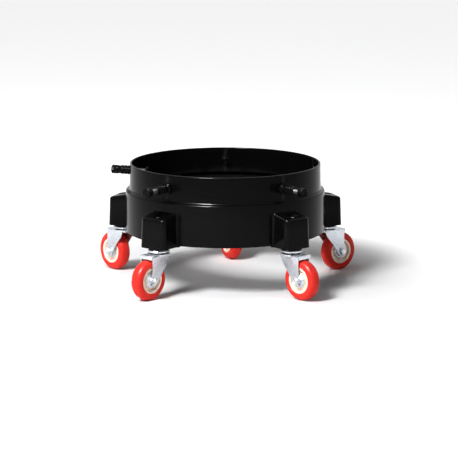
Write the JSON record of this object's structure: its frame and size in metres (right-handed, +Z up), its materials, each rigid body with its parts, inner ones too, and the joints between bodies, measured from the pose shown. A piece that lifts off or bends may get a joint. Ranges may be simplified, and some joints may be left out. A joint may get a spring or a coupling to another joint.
{
  "type": "bucket dolly",
  "caption": "Low round rolling base for a bucket: a stepped black plastic ring on red swivel casters, with thumb screws through its wall that clamp the bucket.",
  "frame": {"origin": "middle of the footprint, on the floor that the wheels stand on", "axes": "+Z up; the front, with a caster each side of it, faces -Y; +X to the right as seen from the front"},
  "size_m": [0.4258, 0.3894, 0.1914],
  "materials": {
    "black_plastic": "glossy moulded black plastic",
    "zinc": "bright zinc plated pressed steel",
    "dark_steel": "oiled dark steel",
    "red_urethane": "satin red polyurethane",
    "cream_nylon": "satin cream nylon"
  },
  "bodies": {
    "frame": {"ring_body": "black_plastic", "bucket_seat": "black_plastic", "caster_front_left_stem": "zinc", "caster_front_left_nut": "zinc", "caster_front_left_ball_race": "dark_steel", "caster_front_right_stem": "zinc", "caster_front_right_nut": "zinc", "caster_front_right_ball_race": "dark_steel", "caster_right_stem": "zinc", "caster_right_nut": "zinc", "caster_right_ball_race": "dark_steel", "caster_back_stem": "zinc", "caster_back_nut": "zinc", "caster_back_ball_race": "dark_steel", "caster_left_stem": "zinc", "caster_left_nut": "zinc", "caster_left_ball_race": "dark_steel", "clamp_front_left_bush": "black_plastic", "clamp_front_right_bush": "black_plastic", "clamp_back_bush": "black_plastic", "clamp_left_bush": "black_plastic"},
    "caster_front_left_swivel": {"caster_front_left_fork": "zinc", "caster_front_left_axle": "zinc"},
    "caster_front_left_wheel": {"caster_front_left_tyre": "red_urethane", "caster_front_left_hub": "cream_nylon", "caster_front_left_bearing": "zinc"},
    "caster_front_right_swivel": {"caster_front_right_fork": "zinc", "caster_front_right_axle": "zinc"},
    "caster_front_right_wheel": {"caster_front_right_tyre": "red_urethane", "caster_front_right_hub": "cream_nylon", "caster_front_right_bearing": "zinc"},
    "caster_right_swivel": {"caster_right_fork": "zinc", "caster_right_axle": "zinc"},
    "caster_right_wheel": {"caster_right_tyre": "red_urethane", "caster_right_hub": "cream_nylon", "caster_right_bearing": "zinc"},
    "caster_back_swivel": {"caster_back_fork": "zinc", "caster_back_axle": "zinc"},
    "caster_back_wheel": {"caster_back_tyre": "red_urethane", "caster_back_hub": "cream_nylon", "caster_back_bearing": "zinc"},
    "caster_left_swivel": {"caster_left_fork": "zinc", "caster_left_axle": "zinc"},
    "caster_left_wheel": {"caster_left_tyre": "red_urethane", "caster_left_hub": "cream_nylon", "caster_left_bearing": "zinc"},
    "clamp_front_left_foot": {"clamp_front_left_foot": "black_plastic"},
    "clamp_front_left_screw": {"clamp_front_left_screw": "dark_steel", "clamp_front_left_knob": "black_plastic"},
    "clamp_front_right_foot": {"clamp_front_right_foot": "black_plastic"},
    "clamp_front_right_screw": {"clamp_front_right_screw": "dark_steel", "clamp_front_right_knob": "black_plastic"},
    "clamp_back_foot": {"clamp_back_foot": "black_plastic"},
    "clamp_back_screw": {"clamp_back_screw": "dark_steel", "clamp_back_knob": "black_plastic"},
    "clamp_left_foot": {"clamp_left_foot": "black_plastic"},
    "clamp_left_screw": {"clamp_left_screw": "dark_steel", "clamp_left_knob": "black_plastic"}
  },
  "joints": [
    {"name": "caster_front_left_swivel_turn", "type": "hinge", "parent": "frame", "child": "caster_front_left_swivel", "pos_m": [-0.10715, -0.14896, 0.071], "axis": [0, 0, 1], "continuous": true},
    {"name": "caster_front_left_wheel_roll", "type": "hinge", "parent": "caster_front_left_swivel", "child": "caster_front_left_wheel", "pos_m": [-0.1232, -0.16666, 0.03175], "axis": [0.7408, -0.6717, 0], "continuous": true},
    {"name": "caster_front_right_swivel_turn", "type": "hinge", "parent": "frame", "child": "caster_front_right_swivel", "pos_m": [0.1001, -0.14896, 0.071], "axis": [0, 0, 1], "continuous": true},
    {"name": "caster_front_right_wheel_roll", "type": "hinge", "parent": "caster_front_right_swivel", "child": "caster_front_right_wheel", "pos_m": [0.11661, -0.16624, 0.03175], "axis": [0.723, 0.6909, 0], "continuous": true},
    {"name": "caster_right_swivel_turn", "type": "hinge", "parent": "frame", "child": "caster_right_swivel", "pos_m": [0.16415, 0.04815, 0.071], "axis": [0, 0, 1], "continuous": true},
    {"name": "caster_right_wheel_roll", "type": "hinge", "parent": "caster_right_swivel", "child": "caster_right_wheel", "pos_m": [0.18346, 0.06223, 0.03175], "axis": [-0.5892, 0.808, 0], "continuous": true},
    {"name": "caster_back_swivel_turn", "type": "hinge", "parent": "frame", "child": "caster_back_swivel", "pos_m": [-0.00352, 0.16997, 0.071], "axis": [0, 0, 1], "continuous": true},
    {"name": "caster_back_wheel_roll", "type": "hinge", "parent": "caster_back_swivel", "child": "caster_back_wheel", "pos_m": [0.00616, 0.14812, 0.03175], "axis": [0.9143, 0.4051, 0], "continuous": true},
    {"name": "caster_left_swivel_turn", "type": "hinge", "parent": "frame", "child": "caster_left_swivel", "pos_m": [-0.1712, 0.04815, 0.071], "axis": [0, 0, 1], "continuous": true},
    {"name": "caster_left_wheel_roll", "type": "hinge", "parent": "caster_left_swivel", "child": "caster_left_wheel", "pos_m": [-0.18681, 0.06624, 0.03175], "axis": [-0.757, -0.6534, 0], "continuous": true},
    {"name": "clamp_front_left_travel", "type": "slide", "parent": "frame", "child": "clamp_front_left_foot", "axis": [0.5878, 0.809, 0], "range_m": [0, 0.013]},
    {"name": "clamp_front_left_turn", "type": "hinge", "parent": "clamp_front_left_foot", "child": "clamp_front_left_screw", "pos_m": [-0.09404, -0.13092, 0.17], "axis": [0.5878, 0.809, 0], "range_deg": [-1, 1561]},
    {"name": "clamp_front_right_travel", "type": "slide", "parent": "frame", "child": "clamp_front_right_foot", "axis": [-0.5878, 0.809, 0], "range_m": [0, 0.013]},
    {"name": "clamp_front_right_turn", "type": "hinge", "parent": "clamp_front_right_foot", "child": "clamp_front_right_screw", "pos_m": [0.087, -0.13092, 0.17], "axis": [-0.5878, 0.809, 0], "range_deg": [-1, 1561]},
    {"name": "clamp_back_travel", "type": "slide", "parent": "frame", "child": "clamp_back_foot", "axis": [0, -1, 0], "range_m": [-0.007, 0.006]},
    {"name": "clamp_back_turn", "type": "hinge", "parent": "clamp_back_foot", "child": "clamp_back_screw", "pos_m": [-0.00352, 0.14767, 0.17], "axis": [0, -1, 0], "range_deg": [-841, 721]},
    {"name": "clamp_left_travel", "type": "slide", "parent": "frame", "child": "clamp_left_foot", "axis": [0.9511, -0.309, 0], "range_m": [-0.013, 0]},
    {"name": "clamp_left_turn", "type": "hinge", "parent": "clamp_left_foot", "child": "clamp_left_screw", "pos_m": [-0.14999, 0.04126, 0.17], "axis": [0.9511, -0.309, 0], "range_deg": [-1561, 1]}
  ],
  "couplings": [
    {"joint": "clamp_front_left_turn", "follows": "clamp_front_left_travel", "rad_per_m": 2094.4},
    {"joint": "clamp_front_right_turn", "follows": "clamp_front_right_travel", "rad_per_m": 2094.4},
    {"joint": "clamp_back_turn", "follows": "clamp_back_travel", "rad_per_m": 2094.4},
    {"joint": "clamp_left_turn", "follows": "clamp_left_travel", "rad_per_m": 2094.4}
  ]
}
